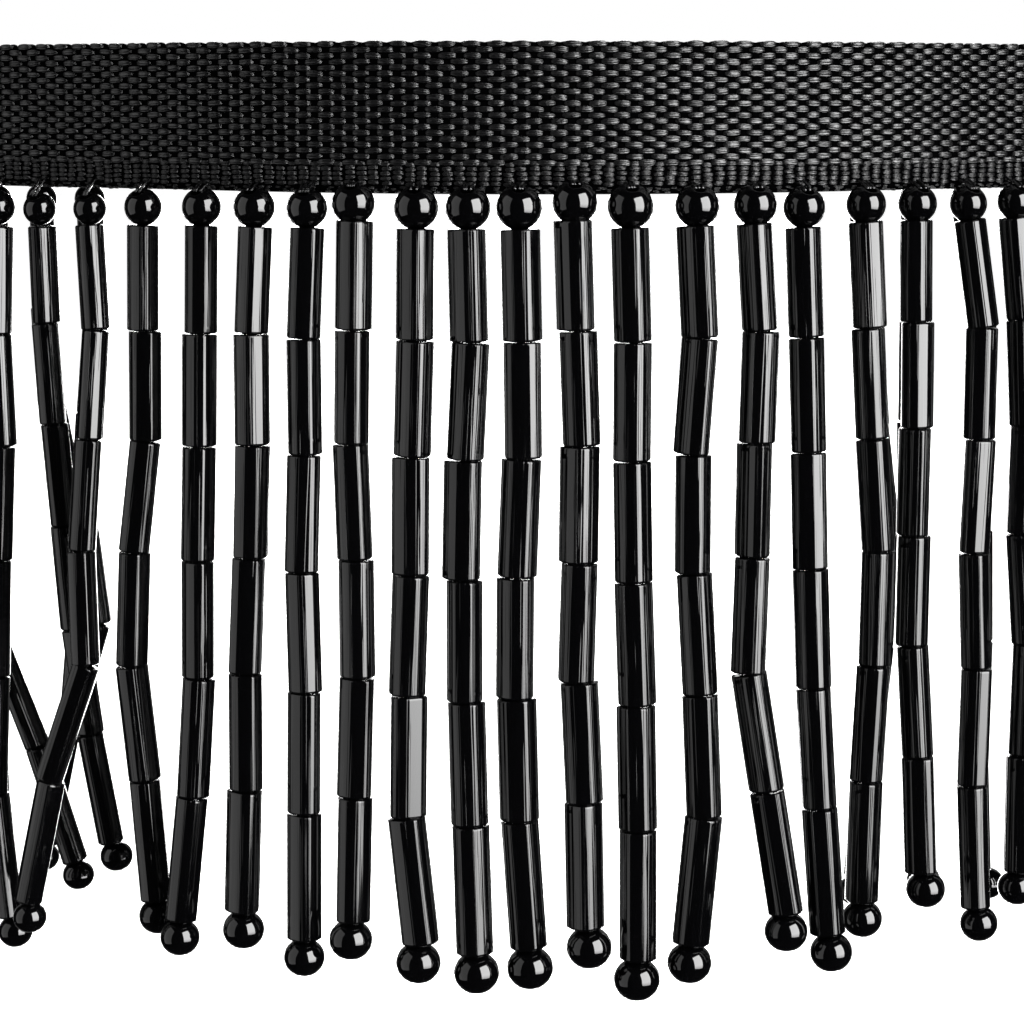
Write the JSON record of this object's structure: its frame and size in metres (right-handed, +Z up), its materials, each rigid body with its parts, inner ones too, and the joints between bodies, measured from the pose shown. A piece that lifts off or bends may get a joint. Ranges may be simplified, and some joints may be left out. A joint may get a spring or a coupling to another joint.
{
  "type": "beaded fringe trim",
  "caption": "Black woven tape with a close fringe of hanging glass-bead strands, round beads above and below long bugle beads, in a hung, curved cut length.",
  "frame": {"origin": "middle of the tape's top edge, in the middle of its thickness", "axes": "+X along the tape to the right as seen from the beaded side, -Y the way the beaded side faces, +Z up"},
  "size_m": [0.0868, 0.0332, 0.0657],
  "materials": {
    "tape": "black woven filament yarn with a faint sheen",
    "beads": "opaque black glass, polished"
  },
  "bodies": {
    "root": {"tape": "tape", "fringe": "beads"}
  },
  "joints": []
}
